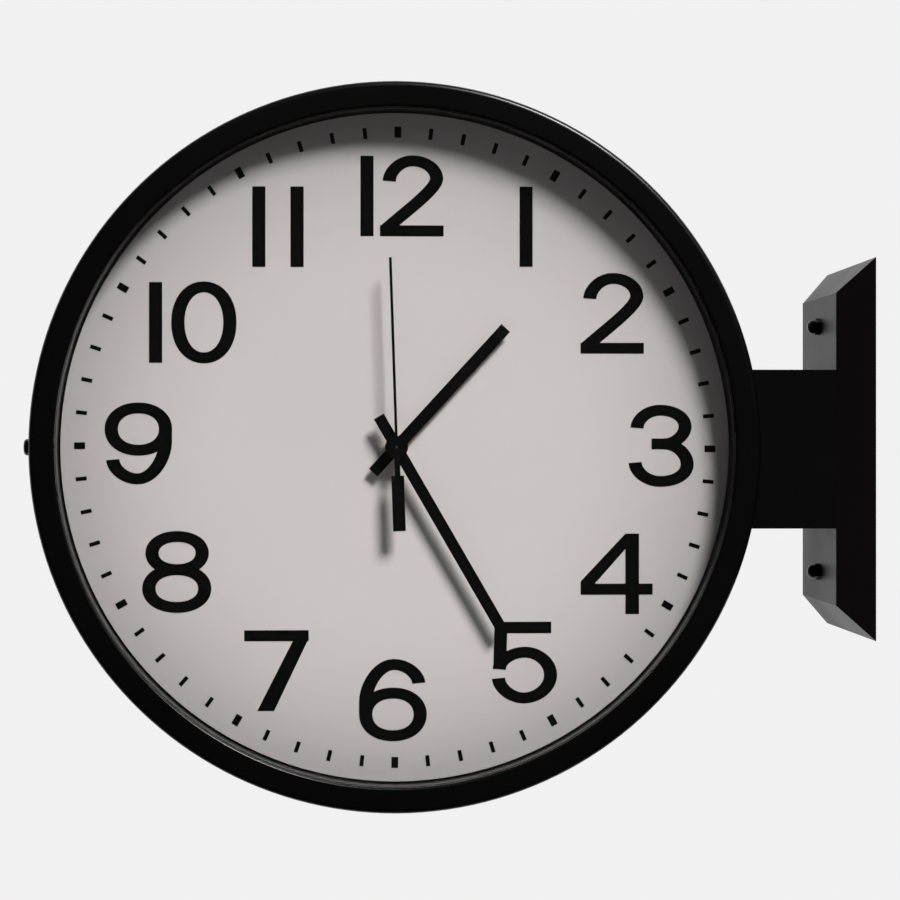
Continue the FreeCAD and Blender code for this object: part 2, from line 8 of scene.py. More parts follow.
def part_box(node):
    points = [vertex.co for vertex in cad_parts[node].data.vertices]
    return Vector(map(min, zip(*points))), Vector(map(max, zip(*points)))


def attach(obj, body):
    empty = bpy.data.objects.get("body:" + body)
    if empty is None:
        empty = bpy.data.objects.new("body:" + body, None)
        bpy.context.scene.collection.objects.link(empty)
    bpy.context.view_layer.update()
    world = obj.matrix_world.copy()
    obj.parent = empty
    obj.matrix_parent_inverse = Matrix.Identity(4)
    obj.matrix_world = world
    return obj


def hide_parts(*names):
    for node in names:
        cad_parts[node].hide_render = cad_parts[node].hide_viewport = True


bl_info = {
    "name": "Double Sided Station Clock",
    "version": (1, 0, 0),
    "blender": (4, 5, 0),
    "location": "3D View > Sidebar > Station Clock",
    "description": "Finishes, printing, rims and screws of a wall bracket clock, with its stage",
    "category": "Object",
}

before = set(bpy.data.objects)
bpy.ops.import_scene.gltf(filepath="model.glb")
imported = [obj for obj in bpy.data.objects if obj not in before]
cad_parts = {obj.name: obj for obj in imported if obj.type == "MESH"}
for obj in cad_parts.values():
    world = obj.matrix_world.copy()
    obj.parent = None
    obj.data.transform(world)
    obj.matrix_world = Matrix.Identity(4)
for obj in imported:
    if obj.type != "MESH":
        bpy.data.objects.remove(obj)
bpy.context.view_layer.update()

# Metres throughout.  Pieces are drafted on a flat sheet first: x to the right and y up as
# the viewer of a dial sees them, z towards that viewer, from the middle plane of the case.
MM = 0.001
SIDES = ("front", "rear")
LENS_LOW, LENS_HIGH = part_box("front_lens")
AXIS = (LENS_LOW + LENS_HIGH) / 2
AXIS.y = 0.0
RIM_LOW, RIM_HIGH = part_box("front_bezel")
RIM_RADIUS = (RIM_HIGH.x - RIM_LOW.x) / 2
RIM_FACE = -RIM_LOW.y
SKIRT_LENGTH = RIM_HIGH.y - RIM_LOW.y
DIAL_FACE = -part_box("front_dial")[0].y
SCREW_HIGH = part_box("pan_head_screws")[1]
CANOPY_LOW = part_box("wall_canopy")[0]
NUT_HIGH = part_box("cap_nuts")[1]


# ---------------------------------------------------------------- settings a user changes
class DialSettings(bpy.types.PropertyGroup):
    numeral_height: bpy.props.FloatProperty(
        name="Numeral height", description="Height of the printed hour numerals",
        default=38.4 * MM, subtype="DISTANCE", unit="LENGTH")
    tick_radius: bpy.props.FloatProperty(
        name="Tick ring radius", description="Radius of the middle of the minute ticks",
        default=148.84 * MM, subtype="DISTANCE", unit="LENGTH")
    tick_length: bpy.props.FloatProperty(
        name="Tick length", description="Length of every tick, along the radius",
        default=5.2 * MM, subtype="DISTANCE", unit="LENGTH")
    minute_tick_width: bpy.props.FloatProperty(
        name="Minute tick width", description="Width of the ticks between the hours",
        default=1.9 * MM, subtype="DISTANCE", unit="LENGTH")
    hour_tick_width: bpy.props.FloatProperty(
        name="Hour tick width", description="Width of the ticks at the hours",
        default=3.2 * MM, subtype="DISTANCE", unit="LENGTH")
    tick_turn: bpy.props.FloatProperty(
        name="Tick ring turn", description="How far clockwise the printed ring of ticks sits",
        default=math.radians(0.28), subtype="ANGLE", unit="ROTATION")
    ink_thickness: bpy.props.FloatProperty(
        name="Ink thickness", description="How far the printing stands above the dial",
        default=0.06 * MM, subtype="DISTANCE", unit="LENGTH")
    paint_colour: bpy.props.FloatVectorProperty(
        name="Dial paint", description="Colour of the white dial paint",
        default=(0.74, 0.69, 0.683), subtype="COLOR", size=3, min=0.0, max=1.0)
    # Painted shade: the next two settings darken the dial's paint towards its edge, standing in
    # for shade there
    dial_radius: bpy.props.FloatProperty(
        name="Dial radius", description="Radius at which the paint is greyest",
        default=158 * MM, subtype="DISTANCE", unit="LENGTH")
    edge_painted_shade: bpy.props.FloatProperty(
        name="Edge tone", description="How much greyer the paint is at the dial's edge",
        default=0.38, min=0.0, max=1.0)
    ink_colour: bpy.props.FloatVectorProperty(
        name="Ink", description="Colour of the numerals, ticks and hands",
        default=(0.0012, 0.0010, 0.0010), subtype="COLOR", size=3, min=0.0, max=1.0)


class CaseSettings(bpy.types.PropertyGroup):
    rim_width: bpy.props.FloatProperty(
        name="Rim width", description="Flat black ring from its outside to the sight edge",
        default=12.1 * MM, subtype="DISTANCE", unit="LENGTH")
    rim_wall: bpy.props.FloatProperty(
        name="Rim wall", description="Thickness of the rim's flange and skirt",
        default=2.4 * MM, subtype="DISTANCE", unit="LENGTH")
    rim_rounding: bpy.props.FloatProperty(
        name="Rim rounding", description="Rounding of the rim's outer edge",
        default=2.6 * MM, subtype="DISTANCE", unit="LENGTH")
    lip_break: bpy.props.FloatProperty(
        name="Sight edge chamfer", description="Flat chamfer on the rim's inner edge",
        default=0.7 * MM, subtype="DISTANCE", unit="LENGTH")
    rim_sides: bpy.props.IntProperty(
        name="Rim facets", description="Flats round the rim", default=180, min=48)
    case_colour: bpy.props.FloatVectorProperty(
        name="Case paint", description="Colour of the black rim, drum and arm",
        default=(0.0010, 0.0010, 0.0010), subtype="COLOR", size=3, min=0.0, max=1.0)
    # Black paint and painted reflection: the canopy's colour is lighter and more purple than the
    # case paint, to carry part of the pale glancing reflection on its face
    canopy_colour_and_reflection: bpy.props.FloatVectorProperty(
        name="Canopy paint", description="Colour of the black wall canopy",
        default=(0.013, 0.0095, 0.011), subtype="COLOR", size=3, min=0.0, max=1.0)


class ScrewSettings(bpy.types.PropertyGroup):
    head_radius: bpy.props.FloatProperty(
        name="Head radius", description="Radius of the pan head",
        default=3.9 * MM, subtype="DISTANCE", unit="LENGTH")
    head_height: bpy.props.FloatProperty(
        name="Head height", description="Height of the pan head",
        default=2.6 * MM, subtype="DISTANCE", unit="LENGTH")
    shank_radius: bpy.props.FloatProperty(
        name="Shank radius", description="Radius of the shank in its hole",
        default=2.0 * MM, subtype="DISTANCE", unit="LENGTH")
    shank_length: bpy.props.FloatProperty(
        name="Shank length", description="Length under the head",
        default=8.0 * MM, subtype="DISTANCE", unit="LENGTH")
    recess_width: bpy.props.FloatProperty(
        name="Recess width", description="Width of each slot of the cross recess",
        default=1.0 * MM, subtype="DISTANCE", unit="LENGTH")
    nut_flats: bpy.props.FloatProperty(
        name="Cap nut flats", description="Width of the cap nuts over their flats",
        default=7.0 * MM, subtype="DISTANCE", unit="LENGTH")
    nut_hexagon: bpy.props.FloatProperty(
        name="Cap nut hexagon", description="Height of the hexagon under the dome",
        default=2.2 * MM, subtype="DISTANCE", unit="LENGTH")
    nut_height: bpy.props.FloatProperty(
        name="Cap nut height", description="Height of a cap nut with its dome",
        default=5.7 * MM, subtype="DISTANCE", unit="LENGTH")


class StageSettings(bpy.types.PropertyGroup):
    key_level: bpy.props.FloatProperty(
        name="Key light", description="Strength of the distant key lamp", default=4.05, min=0.0)
    key_height: bpy.props.FloatProperty(
        name="Key angle",
        description="Direction of the key lamp above the horizontal, seen from the front",
        default=math.radians(62.5), subtype="ANGLE", unit="ROTATION")
    key_slant: bpy.props.FloatProperty(
        name="Key slant", description="Angle between the key light and the dial's normal",
        default=math.radians(55.5), subtype="ANGLE", unit="ROTATION")
    key_spread: bpy.props.FloatProperty(
        name="Key spread", description="How wide the key lamp looks from the clock",
        default=math.radians(17), subtype="ANGLE", unit="ROTATION")
    front_fill: bpy.props.FloatProperty(
        name="Front fill", description="Brightness of the room behind the camera",
        default=0.02, min=0.0)
    paper_level: bpy.props.FloatProperty(
        name="Paper brightness", description="Brightness of the pale paper behind the clock",
        default=0.88, min=0.0, max=1.0)
    floor_drop: bpy.props.FloatProperty(
        name="Floor drop", description="Height of the wall fixing above the floor",
        default=0.6, subtype="DISTANCE", unit="LENGTH")


# ---------------------------------------------------------------- working in edit mode
PLACE_SLACK = 0.05 * MM       # how near a point has to be to count as on a circle
NEARLY_LEVEL = 0.9            # least upward part of the normal of a face that counts as level


def clear_selection():
    if bpy.context.object and bpy.context.object.mode != "OBJECT":
        bpy.ops.object.mode_set(mode="OBJECT")
    bpy.ops.object.select_all(action="DESELECT")


def take(piece):
    """Make one object the only selected and active one."""
    clear_selection()
    piece.select_set(True)
    bpy.context.view_layer.objects.active = piece


def settle(piece):
    """Put an object's place, turn and scale into its mesh."""
    take(piece)
    bpy.ops.object.transform_apply(location=True, rotation=True, scale=True)


def pick(kind, test):
    """In edit mode, select only the faces, edges or vertices that pass a test."""
    bpy.ops.mesh.select_mode(type=kind)
    bpy.ops.mesh.select_all(action="DESELECT")
    mesh = bmesh.from_edit_mesh(bpy.context.edit_object.data)
    for part in {"FACE": mesh.faces, "EDGE": mesh.edges, "VERT": mesh.verts}[kind]:
        if test(part):
            part.select_set(True)
    bmesh.update_edit_mesh(bpy.context.edit_object.data)


def pick_top_faces():
    pick("FACE", lambda face: face.normal.z > NEARLY_LEVEL)


def pick_bottom_faces():
    pick("FACE", lambda face: face.normal.z < -NEARLY_LEVEL)


def pick_edges(test):
    """Select only the edges whose two ends both pass a test of place."""
    pick("EDGE", lambda edge: all(test(corner.co) for corner in edge.verts))


def pick_corners(test):
    pick("VERT", lambda corner: test(corner.co))


def ring_at(radius, height):
    """Test for points on a circle about the sheet's centre."""
    def test(place):
        off_circle = abs(math.hypot(place.x, place.y) - radius)
        return off_circle < PLACE_SLACK and abs(place.z - height) < PLACE_SLACK
    return test


def combine(body, tool, operation):
    """Union or cut of two closed pieces; the tool is used up."""
    take(body)
    change = body.modifiers.new("Combine", "BOOLEAN")
    change.object = tool
    change.operation = operation
    change.solver = "EXACT"
    bpy.ops.object.modifier_apply(modifier=change.name)
    bpy.data.objects.remove(tool)
    return body


def copy_piece(piece, name):
    """A copy with its own mesh."""
    take(piece)
    bpy.ops.object.duplicate()
    copy = bpy.context.object
    copy.name = name
    return copy


def join_pieces(pieces, name):
    clear_selection()
    for piece in pieces:
        piece.select_set(True)
    bpy.context.view_layer.objects.active = pieces[0]
    bpy.ops.object.join()
    joined = bpy.context.object
    joined.name = name
    return joined


def sheet_to_side(side):
    """Matrix from the drafting sheet to the front or rear of the clock."""
    turn = Matrix.Rotation(math.radians(90), 4, "X")
    if side == "rear":
        turn = Matrix.Rotation(math.radians(180), 4, "Z") @ turn
    return Matrix.Translation(AXIS) @ turn


def place_on_side(piece, side):
    piece.matrix_world = sheet_to_side(side) @ piece.matrix_world
    settle(piece)


def finish_piece(piece, material, body="clock_body", smooth_angle=40):
    """Material, smoothing, body and finish slot of a piece that is in place."""
    take(piece)
    piece.data.materials.clear()
    piece.data.materials.append(material)
    bpy.ops.object.shade_smooth_by_angle(angle=math.radians(smooth_angle))
    if smooth_angle:
        level = piece.modifiers.new("Flats stay flat", "WEIGHTED_NORMAL")
        level.keep_sharp = True
        level.weight = 100
        bpy.ops.object.modifier_apply(modifier=level.name)
    piece.data.name = piece.name
    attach(piece, body)


def coat(nodes, material):
    """Give CAD nodes a material in the slots that they have."""
    for node in nodes:
        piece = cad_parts[node]
        if not piece.material_slots:
            piece.data.materials.append(material)
        for slot in piece.material_slots:
            slot.material = material


def both(*names):
    return [side + "_" + name for side in SIDES for name in names]


# ---------------------------------------------------------------- node groups for finishes
def new_group(name, inputs, outputs):
    """Empty shader node group with float or colour sockets."""
    group = bpy.data.node_groups.new(name, "ShaderNodeTree")
    for label, kind, value in inputs:
        socket = group.interface.new_socket(label, in_out="INPUT", socket_type=kind)
        socket.default_value = value
    for label, kind in outputs:
        group.interface.new_socket(label, in_out="OUTPUT", socket_type=kind)
    entry = group.nodes.new("NodeGroupInput")
    leaving = group.nodes.new("NodeGroupOutput")
    return group, entry, leaving


def surface_grain_group():
    """Fine relief and uneven gloss of a sprayed or moulded skin."""
    name = "Surface Grain"
    if name in bpy.data.node_groups:
        return bpy.data.node_groups[name]
    group, entry, leaving = new_group(
        name,
        [("Scale", "NodeSocketFloat", 900.0), ("Relief", "NodeSocketFloat", 0.08),
         ("Gloss Low", "NodeSocketFloat", 0.35), ("Gloss High", "NodeSocketFloat", 0.5)],
        [("Roughness", "NodeSocketFloat"), ("Normal", "NodeSocketVector")])
    nodes, links = group.nodes, group.links
    place = nodes.new("ShaderNodeTexCoord")
    fine = nodes.new("ShaderNodeTexNoise")
    fine.inputs["Detail"].default_value = 3.0
    broad = nodes.new("ShaderNodeTexNoise")
    broad.inputs["Scale"].default_value = 14.0
    broad.inputs["Detail"].default_value = 5.0
    spread = nodes.new("ShaderNodeMapRange")
    spread.inputs["From Min"].default_value = 0.3
    spread.inputs["From Max"].default_value = 0.7
    bump = nodes.new("ShaderNodeBump")
    bump.inputs["Distance"].default_value = 0.0002
    links.new(place.outputs["Object"], fine.inputs["Vector"])
    links.new(place.outputs["Object"], broad.inputs["Vector"])
    links.new(entry.outputs["Scale"], fine.inputs["Scale"])
    links.new(entry.outputs["Relief"], bump.inputs["Strength"])
    links.new(fine.outputs["Fac"], bump.inputs["Height"])
    links.new(broad.outputs["Fac"], spread.inputs["Value"])
    links.new(entry.outputs["Gloss Low"], spread.inputs["To Min"])
    links.new(entry.outputs["Gloss High"], spread.inputs["To Max"])
    links.new(spread.outputs["Result"], leaving.inputs["Roughness"])
    links.new(bump.outputs["Normal"], leaving.inputs["Normal"])
    return group


def tone_drift_group():
    """Slow change of tone over a surface, as paint, moulding and handling leave it."""
    name = "Tone Drift"
    if name in bpy.data.node_groups:
        return bpy.data.node_groups[name]
    group, entry, leaving = new_group(
        name,
        [("Colour", "NodeSocketColor", (0.5, 0.5, 0.5, 1.0)),
         ("Worn Colour", "NodeSocketColor", (0.6, 0.6, 0.6, 1.0)),
         ("Scale", "NodeSocketFloat", 9.0), ("Amount", "NodeSocketFloat", 0.3)],
        [("Colour", "NodeSocketColor")])
    nodes, links = group.nodes, group.links
    place = nodes.new("ShaderNodeTexCoord")
    cloud = nodes.new("ShaderNodeTexNoise")
    cloud.inputs["Detail"].default_value = 6.0
    cloud.inputs["Roughness"].default_value = 0.6
    spread = nodes.new("ShaderNodeMapRange")
    spread.inputs["From Min"].default_value = 0.35
    spread.inputs["From Max"].default_value = 0.7
    mix = nodes.new("ShaderNodeMix")
    mix.data_type = "RGBA"
    links.new(place.outputs["Object"], cloud.inputs["Vector"])
    links.new(entry.outputs["Scale"], cloud.inputs["Scale"])
    links.new(cloud.outputs["Fac"], spread.inputs["Value"])
    links.new(entry.outputs["Amount"], spread.inputs["To Max"])
    links.new(spread.outputs["Result"], mix.inputs["Factor"])
    links.new(entry.outputs["Colour"], mix.inputs["A"])
    links.new(entry.outputs["Worn Colour"], mix.inputs["B"])
    links.new(mix.outputs["Result"], leaving.inputs["Colour"])
    return group


def finish_material(name, colour, worn, grain, gloss, relief=0.08, drift=0.3,
                    metallic=0.0, specular=0.5):
    """Principled finish with the two shared effects.  gloss is (smoothest, roughest)."""
    if name in bpy.data.materials:
        return bpy.data.materials[name]
    material = bpy.data.materials.new(name)
    material.use_nodes = True
    nodes, links = material.node_tree.nodes, material.node_tree.links
    shader = nodes["Principled BSDF"]
    skin = nodes.new("ShaderNodeGroup")
    skin.node_tree = surface_grain_group()
    skin.inputs["Scale"].default_value = grain
    skin.inputs["Relief"].default_value = relief
    skin.inputs["Gloss Low"].default_value = gloss[0]
    skin.inputs["Gloss High"].default_value = gloss[1]
    tone = nodes.new("ShaderNodeGroup")
    tone.node_tree = tone_drift_group()
    tone.inputs["Colour"].default_value = (*colour, 1.0)
    tone.inputs["Worn Colour"].default_value = (*worn, 1.0)
    tone.inputs["Amount"].default_value = drift
    links.new(tone.outputs["Colour"], shader.inputs["Base Color"])
    links.new(skin.outputs["Roughness"], shader.inputs["Roughness"])
    links.new(skin.outputs["Normal"], shader.inputs["Normal"])
    shader.inputs["Metallic"].default_value = metallic
    shader.inputs["Specular IOR Level"].default_value = specular
    return material


def case_paint():
    colour = tuple(bpy.context.scene.clock_case.case_colour)
    return finish_material("Black case paint", colour, [2 * c for c in colour],
                           grain=1400.0, gloss=(0.26, 0.30), relief=0.02, drift=0.5, specular=0.35)


def drum_paint():
    colour = tuple(bpy.context.scene.clock_case.case_colour)
    return finish_material("Black drum paint", [3 * c for c in colour], [6 * c for c in colour],
                           grain=1400.0, gloss=(0.30, 0.32), relief=0.0, drift=0.5)


def canopy_paint():
    # Black paint with painted reflection: the lifted, purplish colour and weak specular stand in
    # for part of the glancing reflection on the canopy's face
    colour = tuple(bpy.context.scene.clock_case.canopy_colour_and_reflection)
    return finish_material("Black canopy paint", colour, [1.3 * c for c in colour],
                           grain=1400.0, gloss=(0.34, 0.42), relief=0.06, drift=0.5, specular=0.1)


PAINTED_SHADE_START = 0.45             # share of the dial's radius where the painted shade begins


def dial_paint():
    """White paint with painted shade that darkens it towards the edge of the dial."""
    sizes = bpy.context.scene.clock_dial
    colour = tuple(sizes.paint_colour)
    material = finish_material("White dial paint", colour, [0.965 * c for c in colour],
                               grain=1800.0, gloss=(0.55, 0.68), relief=0.03, drift=0.8)
    nodes, links = material.node_tree.nodes, material.node_tree.links
    base = nodes["Principled BSDF"].inputs["Base Color"]
    even = base.links[0].from_socket
    place = nodes.new("ShaderNodeTexCoord")
    level = nodes.new("ShaderNodeVectorMath")
    level.operation = "MULTIPLY"
    level.inputs[1].default_value = (1.0, 0.0, 1.0)
    radius = nodes.new("ShaderNodeVectorMath")
    radius.operation = "DISTANCE"
    radius.inputs[1].default_value = (AXIS.x, 0.0, AXIS.z)
    # Painted shade: towards the dial's edge the paint is mixed more and more towards black
    outward = nodes.new("ShaderNodeMapRange")
    outward.inputs["From Min"].default_value = PAINTED_SHADE_START * sizes.dial_radius
    outward.inputs["From Max"].default_value = sizes.dial_radius
    curve = nodes.new("ShaderNodeMath")
    curve.operation = "POWER"
    curve.inputs[1].default_value = 2.0
    amount = nodes.new("ShaderNodeMath")
    amount.operation = "MULTIPLY"
    amount.inputs[1].default_value = sizes.edge_painted_shade
    mix = nodes.new("ShaderNodeMix")
    mix.data_type = "RGBA"
    mix.inputs["B"].default_value = (0.0, 0.0, 0.0, 1.0)
    links.new(place.outputs["Object"], level.inputs[0])
    links.new(level.outputs["Vector"], radius.inputs[0])
    links.new(radius.outputs["Value"], outward.inputs["Value"])
    links.new(outward.outputs["Result"], curve.inputs[0])
    links.new(curve.outputs["Value"], amount.inputs[0])
    links.new(amount.outputs["Value"], mix.inputs["Factor"])
    links.new(even, mix.inputs["A"])
    links.new(mix.outputs["Result"], base)
    return material


def printing_ink():
    colour = tuple(bpy.context.scene.clock_dial.ink_colour)
    return finish_material("Black printing ink", colour, [1.6 * c for c in colour],
                           grain=2200.0, gloss=(0.6, 0.7), relief=0.02, specular=0.03)


def hand_paint():
    colour = tuple(bpy.context.scene.clock_dial.ink_colour)
    return finish_material("Black hand paint", colour, [1.8 * c for c in colour],
                           grain=2000.0, gloss=(0.5, 0.62), relief=0.03, specular=0.04)


# Finishes that no setting changes: colour, worn colour, grain, (smoothest, roughest),
# relief and metallic.
PLAIN_FINISHES = {
    "Black oxide fasteners": ((0.004, 0.004, 0.0045), (0.012, 0.012, 0.013),
                              2500.0, (0.22, 0.32), 0.03, 0.0),
    "Zinc plated steel": ((0.55, 0.57, 0.58), (0.42, 0.43, 0.42), 1600.0, (0.28, 0.45), 0.10, 1.0),
    "Bright steel": ((0.72, 0.72, 0.73), (0.55, 0.55, 0.56), 2600.0, (0.18, 0.3), 0.04, 1.0),
    "Plain brass": ((0.78, 0.58, 0.27), (0.5, 0.36, 0.18), 2600.0, (0.22, 0.4), 0.05, 1.0),
    "Black movement plastic": ((0.022, 0.022, 0.024), (0.04, 0.04, 0.042),
                               1500.0, (0.45, 0.6), 0.16, 0.0),
    "Natural gear plastic": ((0.62, 0.58, 0.48), (0.5, 0.46, 0.38), 900.0, (0.35, 0.5), 0.08, 0.0),
    "White knob plastic": ((0.72, 0.71, 0.68), (0.6, 0.58, 0.54), 1500.0, (0.35, 0.5), 0.06, 0.0),
    "Blue battery sleeve": ((0.035, 0.09, 0.24), (0.05, 0.12, 0.3), 600.0, (0.2, 0.3), 0.03, 0.0),
}


def plain_finish(name):
    colour, worn, grain, gloss, relief, metallic = PLAIN_FINISHES[name]
    return finish_material(name, colour, worn, grain, gloss, relief, metallic=metallic)


def lens_clear():
    """Clear sheet that lets the light through to the dial without caustics."""
    name = "Clear lens"
    if name in bpy.data.materials:
        return bpy.data.materials[name]
    material = bpy.data.materials.new(name)
    material.use_nodes = True
    nodes, links = material.node_tree.nodes, material.node_tree.links
    glass = nodes["Principled BSDF"]
    glass.inputs["Base Color"].default_value = (0.985, 0.99, 0.99, 1.0)
    glass.inputs["Roughness"].default_value = 0.0
    glass.inputs["IOR"].default_value = 1.46
    glass.inputs["Transmission Weight"].default_value = 1.0
    see_through = nodes.new("ShaderNodeBsdfTransparent")
    path = nodes.new("ShaderNodeLightPath")
    open_way = nodes.new("ShaderNodeMath")
    open_way.operation = "MAXIMUM"
    mix = nodes.new("ShaderNodeMixShader")
    links.new(path.outputs["Is Shadow Ray"], open_way.inputs[0])
    links.new(path.outputs["Is Diffuse Ray"], open_way.inputs[1])
    links.new(open_way.outputs["Value"], mix.inputs["Fac"])
    links.new(glass.outputs["BSDF"], mix.inputs[1])
    links.new(see_through.outputs["BSDF"], mix.inputs[2])
    links.new(mix.outputs["Shader"], nodes["Material Output"].inputs["Surface"])
    return material


# ---------------------------------------------------------------- rims and screws
LIP_ROUNDING = 0.35 * MM      # where the rim's face meets its sight edge chamfer
RIM_BACK_BREAK = 0.3 * MM     # on the outer edge of the rim's open end
HEAD_ROUNDING = 0.55          # of a pan head's edge, as a share of its height
RECESS_LENGTH = 1.15          # of each slot, as a share of the head's radius
RECESS_DEPTH = 1.1            # of the block that cuts a slot, as a share of the head's height
HEXAGON_BREAK = 0.35 * MM     # on a cap nut's upper edges
DOME_SET_IN = 0.1 * MM        # dome within the flats of a cap nut
DOME_ROUNDING = 0.82          # as a share of the dome's radius
DOME_WALL = 1.3 * MM          # over the end of the blind bore
BORE_FIT = 0.08 * MM          # round the shank in a cap nut


def draft_rim():
    """The flanged rim on the drafting sheet, turned up from one cylinder."""
    sizes = bpy.context.scene.clock_case
    lip_radius = RIM_RADIUS - sizes.rim_width
    back = RIM_FACE - SKIRT_LENGTH
    clear_selection()
    bpy.ops.mesh.primitive_cylinder_add(
        vertices=sizes.rim_sides, radius=RIM_RADIUS, depth=SKIRT_LENGTH,
        location=(0, 0, RIM_FACE - SKIRT_LENGTH / 2))
    rim = bpy.context.object
    settle(rim)
    bpy.ops.object.mode_set(mode="EDIT")
    pick_top_faces()
    bpy.ops.mesh.inset(thickness=sizes.rim_width)
    bpy.ops.mesh.delete(type="FACE")
    pick_bottom_faces()
    bpy.ops.mesh.inset(thickness=sizes.rim_wall)
    hollow = SKIRT_LENGTH - sizes.rim_wall
    bpy.ops.mesh.extrude_region_move(TRANSFORM_OT_translate={"value": (0, 0, hollow)})
    bpy.ops.mesh.inset(thickness=sizes.rim_width - sizes.rim_wall)
    bpy.ops.mesh.delete(type="FACE")
    bpy.ops.mesh.select_mode(type="EDGE")
    bpy.ops.mesh.select_all(action="DESELECT")
    bpy.ops.mesh.select_non_manifold()
    bpy.ops.mesh.bridge_edge_loops()
    pick_edges(ring_at(RIM_RADIUS, RIM_FACE))
    bpy.ops.mesh.bevel(offset=sizes.rim_rounding, segments=6, profile=0.5)
    pick_edges(ring_at(lip_radius, RIM_FACE))
    bpy.ops.mesh.bevel(offset=sizes.lip_break, segments=1)
    pick_edges(ring_at(lip_radius + sizes.lip_break, RIM_FACE))
    bpy.ops.mesh.bevel(offset=LIP_ROUNDING, segments=3, profile=0.5)
    pick_edges(ring_at(RIM_RADIUS, back))
    bpy.ops.mesh.bevel(offset=RIM_BACK_BREAK, segments=2, profile=0.5)
    bpy.ops.mesh.select_all(action="SELECT")
    bpy.ops.mesh.normals_make_consistent(inside=False)
    bpy.ops.object.mode_set(mode="OBJECT")
    return rim


def draft_screw():
    """Pan head screw on the sheet: head up, its underside at the origin."""
    sizes = bpy.context.scene.clock_screw
    clear_selection()
    bpy.ops.mesh.primitive_cylinder_add(
        vertices=32, radius=sizes.head_radius, depth=sizes.head_height,
        location=(0, 0, sizes.head_height / 2))
    screw = bpy.context.object
    settle(screw)
    bpy.ops.object.mode_set(mode="EDIT")
    pick_bottom_faces()
    bpy.ops.mesh.inset(thickness=sizes.head_radius - sizes.shank_radius)
    bpy.ops.mesh.extrude_region_move(TRANSFORM_OT_translate={"value": (0, 0, -sizes.shank_length)})
    pick_edges(ring_at(sizes.head_radius, sizes.head_height))
    bpy.ops.mesh.bevel(offset=HEAD_ROUNDING * sizes.head_height, segments=5, profile=0.5)
    bpy.ops.object.mode_set(mode="OBJECT")
    for turn in (0, 90):
        clear_selection()
        bpy.ops.mesh.primitive_cube_add(
            size=1, location=(0, 0, sizes.head_height), rotation=(0, 0, math.radians(turn)),
            scale=(RECESS_LENGTH * sizes.head_radius, sizes.recess_width,
                   RECESS_DEPTH * sizes.head_height))
        combine(screw, bpy.context.object, "DIFFERENCE")
    return screw


class CLOCK_OT_rims(bpy.types.Operator):
    """Turn the two black rims with their rounded edges"""
    bl_idname = "clock.rims"
    bl_label = "Rims"

    def execute(self, context):
        front = draft_rim()
        rims = {"front": front, "rear": copy_piece(front, "rear_rim")}
        front.name = "front_rim"
        for side, rim in rims.items():
            place_on_side(rim, side)
            finish_piece(rim, case_paint())
            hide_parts(side + "_bezel")
        return {"FINISHED"}


def draft_cap_nut():
    """Cap nut on the sheet: seat at the origin, dome up, blind bore below."""
    sizes = bpy.context.scene.clock_screw
    clear_selection()
    bpy.ops.mesh.primitive_cylinder_add(
        vertices=6, radius=sizes.nut_flats / math.sqrt(3), depth=sizes.nut_hexagon,
        location=(0, 0, sizes.nut_hexagon / 2))
    nut = bpy.context.object
    settle(nut)
    bpy.ops.object.mode_set(mode="EDIT")
    pick_edges(lambda place: place.z > sizes.nut_hexagon / 2)
    bpy.ops.mesh.bevel(offset=HEXAGON_BREAK, segments=2)
    bpy.ops.object.mode_set(mode="OBJECT")
    dome_radius = sizes.nut_flats / 2 - DOME_SET_IN
    foot = sizes.nut_hexagon / 2
    clear_selection()
    bpy.ops.mesh.primitive_cylinder_add(
        vertices=40, radius=dome_radius, depth=sizes.nut_height - foot,
        location=(0, 0, (sizes.nut_height + foot) / 2))
    dome = bpy.context.object
    settle(dome)
    bpy.ops.object.mode_set(mode="EDIT")
    pick_edges(ring_at(dome_radius, sizes.nut_height))
    bpy.ops.mesh.bevel(offset=DOME_ROUNDING * dome_radius, segments=8, profile=0.5)
    bpy.ops.object.mode_set(mode="OBJECT")
    nut = combine(nut, dome, "UNION")
    depth = sizes.nut_height - DOME_WALL
    clear_selection()
    bpy.ops.mesh.primitive_cylinder_add(
        vertices=24, radius=sizes.shank_radius + BORE_FIT, depth=2 * depth)
    return combine(nut, bpy.context.object, "DIFFERENCE")


def set_copies(master, seats, name):
    """Copies of one fastener at (place, direction of its head, turn in degrees), joined."""
    copies = []
    for place, direction, turn in seats:
        fastener = copy_piece(master, "fastener_copy")
        facing = direction.to_track_quat("Z", "Y").to_matrix().to_4x4()
        spin = Matrix.Rotation(math.radians(turn), 4, "Z")
        fastener.matrix_world = Matrix.Translation(place) @ facing @ spin
        settle(fastener)
        copies.append(fastener)
    bpy.data.objects.remove(master)
    return join_pieces(copies, name)


